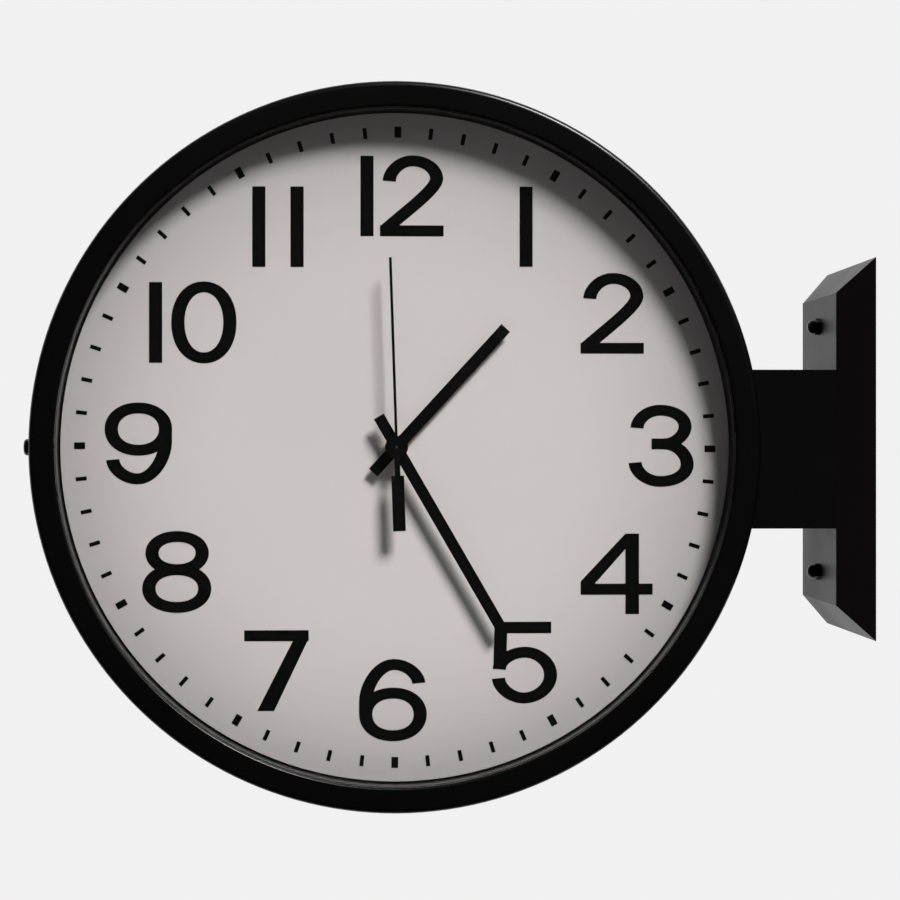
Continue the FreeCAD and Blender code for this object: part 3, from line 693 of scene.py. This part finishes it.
class CLOCK_OT_fasteners(bpy.types.Operator):
    """Make the pan head screws of the rims and bar and the cap nuts of the canopy"""
    bl_idname = "clock.fasteners"
    bl_label = "Screws and cap nuts"

    def execute(self, context):
        sizes = context.scene.clock_screw
        rim_y = SCREW_HIGH.y - sizes.head_radius
        ear_z = SCREW_HIGH.z - sizes.head_radius
        ear_back = SCREW_HIGH.x - sizes.head_height
        away, wall = Vector((-1, 0, 0)), Vector((1, 0, 0))
        screws = set_copies(draft_screw(), [
            (Vector((RIM_LOW.x, -rim_y, AXIS.z)), away, 20),
            (Vector((RIM_LOW.x, rim_y, AXIS.z)), away, 65),
            (Vector((ear_back, 0, ear_z)), wall, 10),
            (Vector((ear_back, 0, -ear_z)), wall, 50)], "cross_recess_screws")
        finish_piece(screws, plain_finish("Black oxide fasteners"))
        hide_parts("pan_head_screws")
        nut_z = NUT_HIGH.z - sizes.nut_flats / 2
        nuts = set_copies(draft_cap_nut(), [
            (Vector((CANOPY_LOW.x, 0, nut_z)), away, 0),
            (Vector((CANOPY_LOW.x, 0, -nut_z)), away, 0)], "domed_cap_nuts")
        finish_piece(nuts, plain_finish("Black oxide fasteners"))
        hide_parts("cap_nuts")
        return {"FINISHED"}


# ---------------------------------------------------------------- dial printing
def draft_block(low, high, bottom, top, thickness):
    """Flat-ended block on the sheet: bottom and top are its (left, right) edges there."""
    clear_selection()
    bpy.ops.mesh.primitive_cube_add(size=1)
    block = bpy.context.object
    block.scale = (bottom[1] - bottom[0], high - low, thickness)
    block.location = ((bottom[0] + bottom[1]) / 2, (low + high) / 2, thickness / 2)
    settle(block)
    if tuple(top) != tuple(bottom):
        middle = (bottom[0] + bottom[1]) / 2
        bpy.ops.object.mode_set(mode="EDIT")
        pick_corners(lambda place: place.y > (low + high) / 2)
        taper = (top[1] - top[0]) / (bottom[1] - bottom[0])
        bpy.ops.transform.resize(value=(taper, 1, 1), center_override=(middle, high, 0))
        bpy.ops.transform.translate(value=((top[0] + top[1]) / 2 - middle, 0, 0))
        bpy.ops.object.mode_set(mode="OBJECT")
    return block


def draft_bend(points, closed, thickness):
    """Curved stroke on the sheet along (x, y, handle x, handle y), with flat-cut ends.

    The stroke is drawn narrowed across and then widened, which leaves its upright runs
    heavier than its level ones, as in the printed figures."""
    clear_selection()
    bpy.ops.curve.primitive_bezier_curve_add()
    bend = bpy.context.object
    bend.data.dimensions = "2D"
    bend.data.fill_mode = "NONE"
    bend.data.resolution_u = 10
    bend.data.extrude = thickness / 2
    run = bend.data.splines[0]
    run.bezier_points.add(len(points) - len(run.bezier_points))
    run.use_cyclic_u = closed
    for corner, (x, y, reach_x, reach_y) in zip(run.bezier_points, points):
        place = Vector((x / STEM_TO_BAR, y, 0))
        reach = Vector((reach_x / STEM_TO_BAR, reach_y, 0))
        corner.handle_left_type = corner.handle_right_type = "FREE"
        corner.co = place
        corner.handle_left = place - reach
        corner.handle_right = place + reach
    bpy.ops.object.convert(target="MESH")
    bend = bpy.context.object
    change = bend.modifiers.new("Stroke", "SOLIDIFY")
    change.thickness = BAR_WEIGHT * bpy.context.scene.clock_dial.numeral_height
    change.offset = 0
    change.use_even_offset = True
    bpy.ops.object.modifier_apply(modifier=change.name)
    bend.scale.x = STEM_TO_BAR
    bend.location.z = thickness / 2
    settle(bend)
    bpy.ops.object.mode_set(mode="EDIT")
    bpy.ops.mesh.select_all(action="SELECT")
    bpy.ops.mesh.remove_doubles(threshold=0.001 * MM)
    bpy.ops.mesh.normals_make_consistent(inside=False)
    bpy.ops.object.mode_set(mode="OBJECT")
    return bend


def draft_ring(left, right, bottom, top, thickness):
    """Closed, slightly squared oval stroke with the given outside edges."""
    bar = BAR_WEIGHT * bpy.context.scene.clock_dial.numeral_height / 2
    stem = bar * STEM_TO_BAR
    across, up = (right - left) / 2 - stem, (top - bottom) / 2 - bar
    x, y = (left + right) / 2, (bottom + top) / 2
    side_reach, end_reach = RING_REACH[0] * up, RING_REACH[1] * across
    points = [(x - across, y, 0, side_reach), (x, y + up, end_reach, 0),
              (x + across, y, 0, -side_reach), (x, y - up, -end_reach, 0)]
    return draft_bend(points, True, thickness)


# Figures of the dial, each drawn from its own lower left corner and FIGURE_HEIGHT high:
# straight blocks (low, high, edges at the low end, edges at the high end), closed rings
# (left, right, bottom, top) and open bends (x, y, handle x, handle y).
FIGURE_HEIGHT = 38.4
BAR_WEIGHT = 5.2 / FIGURE_HEIGHT
STEM_TO_BAR = 1.2
RING_REACH = (0.6, 0.58)      # handles at a ring's sides and ends; 0.552 would be an ellipse
FIGURES = {
    "0": [("ring", 0, 30.7, -0.3, 38.4)],
    "1": [("block", 0, 38, (0, 6.2), (0, 6.2))],
    "2": [("bend", (4.4, 26.0, 0, 4.5), (15.4, 35.7, 6, 0), (26.8, 27.1, 0, -5),
           (2.5, 3.1, -7, -6.6)),
          ("block", 0, 5.2, (0, 30.1), (0, 30.1))],
    "3": [("bend", (4.3, 27.1, 0, 4), (15.4, 35.6, 6.5, 0), (27.2, 27.9, 0, -4.5),
           (17.1, 19.6, -5, 0), (11.2, 19.6, -2, 0)),
          ("bend", (11.2, 19.6, 2, 0), (17.1, 19.6, 6, 0), (28.2, 9.9, 0, -5), (15.4, 1.8, -7, 0),
           (3.4, 10.8, 0, 4))],
    "4": [("block", 0, 38.2, (21.3, 27.8), (21.3, 27.8)),
          ("block", 9.2, 14.5, (0, 34.3), (0, 34.3)),
          ("block", 14.4, 15.7, (0, 6.7), (0, 7.8)),
          ("block", 15.6, 38.2, (0, 7.8), (21.3, 27.8))],
    "5": [("bend", (3.7, 15.8, 0, 4.5), (16, 23.9, 6, 0), (28.1, 13.1, 0, -6),
           (15.4, 2.2, -6.5, 0), (3.4, 11.6, 0, 4)),
          ("block", 15.9, 38.2, (0.9, 7), (1.5, 7.7)),
          ("block", 32.8, 38.3, (1.5, 28.4), (1.5, 28.4))],
    "6": [("ring", 0, 32, -0.7, 24.7),
          ("bend", (28.2, 26.7, 0, 3.5), (16.3, 35.6, -7, 0), (3.1, 18, 0, -8), (3.1, 12, 0, -2))],
    "7": [("block", 0, 34.2, (6.1, 14.1), (23.5, 30.4)),
          ("block", 32.9, 38.1, (0, 30.4), (0, 30.4))],
    "8": [("ring", 1.5, 31.3, 17.5, 38.3), ("ring", 0, 32.5, -0.3, 22.7)],
    "9": [("ring", 0, 31.7, 13.4, 38.5),
          ("bend", (28.5, 26, 0, -2), (28.5, 20, 0, -8), (15.5, 2.5, -7, 0), (3.8, 11.6, 0, 3.5))],
}


def draft_figure(name, height, thickness):
    """One figure, joined up from its blocks, rings and bends."""
    unit = height / FIGURE_HEIGHT
    parts = []
    for kind, *sizes in FIGURES[name]:
        if kind == "block":
            low, high, bottom, top = sizes
            parts.append(draft_block(low * unit, high * unit, [x * unit for x in bottom],
                                     [x * unit for x in top], thickness))
        elif kind == "ring":
            parts.append(draft_ring(*[size * unit for size in sizes], thickness))
        else:
            points = [[size * unit for size in point] for point in sizes]
            parts.append(draft_bend(points, False, thickness))
    figure = parts.pop(0)
    for part in parts:
        figure = combine(figure, part, "UNION")
    figure.name = "figure_" + name
    return figure


# Where the middle of each numeral stands, in mm to the right of and above the clock's
# axis, and how far apart the two figures of one numeral start, in mm.
NUMERALS = {
    "1": (61.4, 104.4), "2": (102.3, 63.5), "3": (125.6, 0.7), "4": (104.4, -60.0),
    "5": (60.7, -101.9), "6": (-1.6, -119.4), "7": (-56.5, -105.3), "8": (-103.3, -58.7),
    "9": (-121.3, 1.8), "10": (-95.8, 58.8), "11": (-55.8, 104.0), "12": (2.7, 118.8),
}
FIGURE_STEP = {"10": 10.4, "11": 18.0, "12": 9.2}


def draft_numerals(height, thickness):
    """All twelve numerals on the sheet, as one piece of printing."""
    masters = {name: draft_figure(name, height, thickness) for name in FIGURES}
    printed = []
    for numeral, (x, y) in NUMERALS.items():
        figures = []
        for number, name in enumerate(numeral):
            figure = copy_piece(masters[name], "figure")
            step = FIGURE_STEP.get(numeral, 0) * height / FIGURE_HEIGHT
            figure.location.x = number * step
            settle(figure)
            figures.append(figure)
        word = join_pieces(figures, "numeral_" + numeral)
        corners = [Vector(corner) for corner in word.bound_box]
        middle = (corners[0] + corners[6]) / 2
        word.location = (x * MM - middle.x, y * MM - middle.y, DIAL_FACE)
        settle(word)
        printed.append(word)
    for master in masters.values():
        bpy.data.objects.remove(master)
    return join_pieces(printed, "front_dial_numerals")


class CLOCK_OT_dials(bpy.types.Operator):
    """Paint the two dials and print their ticks and numerals"""
    bl_idname = "clock.dials"
    bl_label = "Dials, ticks and numerals"

    def execute(self, context):
        sizes = context.scene.clock_dial
        coat(both("dial"), dial_paint())
        low = sizes.tick_radius - sizes.tick_length / 2
        high = sizes.tick_radius + sizes.tick_length / 2
        ticks = []
        for tick in range(60):
            width = sizes.minute_tick_width if tick % 5 else sizes.hour_tick_width
            edges = (-width / 2, width / 2)
            bar = draft_block(low, high, edges, edges, sizes.ink_thickness)
            bar.rotation_euler.z = math.radians(-6 * tick) - sizes.tick_turn
            bar.location.z = DIAL_FACE
            settle(bar)
            ticks.append(bar)
        ring = join_pieces(ticks, "front_dial_ticks")
        numerals = draft_numerals(sizes.numeral_height, sizes.ink_thickness)
        for front in (ring, numerals):
            rear = copy_piece(front, front.name.replace("front", "rear"))
            for side, print_layer in (("front", front), ("rear", rear)):
                place_on_side(print_layer, side)
                finish_piece(print_layer, printing_ink(), smooth_angle=0)
        return {"FINISHED"}


class CLOCK_OT_lenses(bpy.types.Operator):
    """Make the two flat lenses clear"""
    bl_idname = "clock.lenses"
    bl_label = "Lenses"

    def execute(self, context):
        coat(both("lens"), lens_clear())
        return {"FINISHED"}


class CLOCK_OT_hands(bpy.types.Operator):
    """Paint the hands and finish the pipes and shafts that carry them"""
    bl_idname = "clock.hands"
    bl_label = "Hands"

    def execute(self, context):
        coat(both("hour_hand", "minute_hand", "second_hand"), hand_paint())
        coat(both("hour_pipe", "minute_pipe", "fixing_nut"), plain_finish("Plain brass"))
        coat(both("second_shaft"), plain_finish("Bright steel"))
        return {"FINISHED"}


class CLOCK_OT_movements(bpy.types.Operator):
    """Finish the two movements with their cells"""
    bl_idname = "clock.movements"
    bl_label = "Movements"

    def execute(self, context):
        coat(both("movement_case", "movement_cover"), plain_finish("Black movement plastic"))
        coat(both("drive_train"), plain_finish("Natural gear plastic"))
        coat(both("setting_knob"), plain_finish("White knob plastic"))
        coat(both("battery"), plain_finish("Blue battery sleeve"))
        coat(both("battery_contacts"), plain_finish("Bright steel"))
        return {"FINISHED"}


class CLOCK_OT_case(bpy.types.Operator):
    """Paint the drum, arm and canopy and finish the fixings inside"""
    bl_idname = "clock.case"
    bl_label = "Case, arm and canopy"

    def execute(self, context):
        coat(["side_arm"] + both("dial_brackets", "bezel_blocks"), case_paint())
        coat(["case_drum"], drum_paint())
        coat(["wall_canopy"], canopy_paint())
        coat(["saddle_bolts", "flange_bolts", "mounting_bar"], plain_finish("Zinc plated steel"))
        return {"FINISHED"}


# ---------------------------------------------------------------- stage
FLOOR_SIZE = 2.4
FLOOR_EVEN_FROM = 0.7         # from the clock's foot; the floor is even paper from
FLOOR_EVEN_TO = 1.15          # the second distance on
FLOOR_SHOWN = 0.76            # how pale the camera sees the floor
FLOOR_BOUNCE = 0.32           # how pale the floor is to light that falls on it and goes on
PAPER_BEGINS = 0.35           # how far back a direction points where the room is all paper

# Camera fitted to the photograph.  Its distance of 1.15 m was set, because the photograph
# hardly tells it; the place beside and below it, the turn and the lens follow from that.
CAMERA_PLACE = (-0.2406, -1.150, -0.0004)
CAMERA_YAW = math.radians(2.157)
CAMERA_LENS = 94.11


def pale_floor(level, drop):
    """Pale floor that takes the shadow near the clock and is even paper further off.

    Light that bounces from it finds it darker, so that it doesn't fill the clock's shadows."""
    material = bpy.data.materials.new("Pale floor")
    material.use_nodes = True
    nodes, links = material.node_tree.nodes, material.node_tree.links
    shader = nodes["Principled BSDF"]
    shader.inputs["Roughness"].default_value = 0.9
    shader.inputs["Specular IOR Level"].default_value = 0.1
    shown = nodes.new("ShaderNodeMix")
    shown.data_type = "RGBA"
    shown.inputs["A"].default_value = (*[FLOOR_BOUNCE] * 3, 1.0)
    shown.inputs["B"].default_value = (*[FLOOR_SHOWN] * 3, 1.0)
    paper = nodes.new("ShaderNodeEmission")
    paper.inputs["Color"].default_value = (level, level, level, 1.0)
    place = nodes.new("ShaderNodeTexCoord")
    distance = nodes.new("ShaderNodeVectorMath")
    distance.operation = "DISTANCE"
    distance.inputs[1].default_value = (AXIS.x, 0.0, -drop)
    far = nodes.new("ShaderNodeMapRange")
    far.inputs["From Min"].default_value = FLOOR_EVEN_FROM
    far.inputs["From Max"].default_value = FLOOR_EVEN_TO
    path = nodes.new("ShaderNodeLightPath")
    share = nodes.new("ShaderNodeMath")
    share.operation = "MULTIPLY"
    mix = nodes.new("ShaderNodeMixShader")
    links.new(path.outputs["Is Camera Ray"], shown.inputs["Factor"])
    links.new(shown.outputs["Result"], shader.inputs["Base Color"])
    links.new(place.outputs["Object"], distance.inputs[0])
    links.new(distance.outputs["Value"], far.inputs["Value"])
    links.new(path.outputs["Is Camera Ray"], share.inputs[0])
    links.new(far.outputs["Result"], share.inputs[1])
    links.new(share.outputs["Value"], mix.inputs["Fac"])
    links.new(shader.outputs["BSDF"], mix.inputs[1])
    links.new(paper.outputs["Emission"], mix.inputs[2])
    links.new(mix.outputs["Shader"], nodes["Material Output"].inputs["Surface"])
    return material


def studio_world(fill, level):
    """Pale paper behind the clock and a dim room in front; the camera sees only paper."""
    world = bpy.data.worlds.new("Studio")
    world.use_nodes = True
    nodes, links = world.node_tree.nodes, world.node_tree.links
    light = nodes["Background"]
    paper = nodes.new("ShaderNodeBackground")
    paper.inputs["Color"].default_value = (level, level, level, 1.0)
    direction = nodes.new("ShaderNodeTexCoord")
    parts = nodes.new("ShaderNodeSeparateXYZ")
    behind = nodes.new("ShaderNodeMapRange")
    behind.inputs["From Min"].default_value = 0.0
    behind.inputs["From Max"].default_value = PAPER_BEGINS
    behind.inputs["To Min"].default_value = fill
    behind.inputs["To Max"].default_value = level
    path = nodes.new("ShaderNodeLightPath")
    mix = nodes.new("ShaderNodeMixShader")
    links.new(direction.outputs["Generated"], parts.inputs["Vector"])
    links.new(parts.outputs["Y"], behind.inputs["Value"])
    links.new(behind.outputs["Result"], light.inputs["Strength"])
    light.inputs["Color"].default_value = (1.0, 1.0, 1.0, 1.0)
    links.new(path.outputs["Is Camera Ray"], mix.inputs["Fac"])
    links.new(light.outputs["Background"], mix.inputs[1])
    links.new(paper.outputs["Background"], mix.inputs[2])
    links.new(mix.outputs["Shader"], nodes["World Output"].inputs["Surface"])
    return world


class CLOCK_OT_stage(bpy.types.Operator):
    """Set up the pale studio, the key lamp and the camera"""
    bl_idname = "clock.stage"
    bl_label = "Stage"

    def execute(self, context):
        scene = context.scene
        sizes = scene.clock_stage
        scene.view_settings.view_transform = "Standard"
        clear_selection()
        bpy.ops.mesh.primitive_plane_add(
            size=FLOOR_SIZE, location=(AXIS.x, 0, -sizes.floor_drop))
        floor = context.object
        floor.name = "floor"
        settle(floor)
        floor.data.materials.append(pale_floor(sizes.paper_level, sizes.floor_drop))
        # Its edge would cross the lenses as a hard line where they mirror it.
        floor.visible_glossy = False
        scene.world = studio_world(sizes.front_fill, sizes.paper_level)
        flat = math.sin(sizes.key_slant)
        towards = Vector((flat * math.cos(sizes.key_height), -math.cos(sizes.key_slant),
                          flat * math.sin(sizes.key_height)))
        bpy.ops.object.light_add(type="SUN", location=AXIS + 2 * towards)
        key = context.object
        key.name = "key_lamp"
        key.rotation_euler = towards.to_track_quat("Z", "Y").to_euler()
        key.data.angle = sizes.key_spread
        key.data.energy = sizes.key_level
        bpy.ops.object.camera_add(
            location=CAMERA_PLACE, rotation=(math.radians(90), 0, -CAMERA_YAW))
        camera = context.object
        camera.data.sensor_width = 36.0
        camera.data.lens = CAMERA_LENS
        scene.camera = camera
        return {"FINISHED"}


class CLOCK_PT_panel(bpy.types.Panel):
    """Buttons that build the clock's finished pieces"""
    bl_idname = "CLOCK_PT_panel"
    bl_label = "Station Clock"
    bl_space_type = "VIEW_3D"
    bl_region_type = "UI"
    bl_category = "Station Clock"

    def draw(self, context):
        for operator in OPERATORS:
            self.layout.operator(operator.bl_idname)


OPERATORS = (CLOCK_OT_case, CLOCK_OT_rims, CLOCK_OT_fasteners, CLOCK_OT_lenses, CLOCK_OT_dials,
             CLOCK_OT_hands, CLOCK_OT_movements, CLOCK_OT_stage)
SETTINGS = {"clock_dial": DialSettings, "clock_case": CaseSettings,
            "clock_screw": ScrewSettings, "clock_stage": StageSettings}


def register():
    for entry in (*SETTINGS.values(), *OPERATORS, CLOCK_PT_panel):
        bpy.utils.register_class(entry)
    for name, group in SETTINGS.items():
        setattr(bpy.types.Scene, name, bpy.props.PointerProperty(type=group))


def unregister():
    for name in SETTINGS:
        delattr(bpy.types.Scene, name)
    for entry in (CLOCK_PT_panel, *reversed(OPERATORS), *SETTINGS.values()):
        bpy.utils.unregister_class(entry)


def main():
    register()
    for operator in OPERATORS:
        family, name = operator.bl_idname.split(".")
        getattr(getattr(bpy.ops, family), name)()


if __name__ == "__main__":
    main()
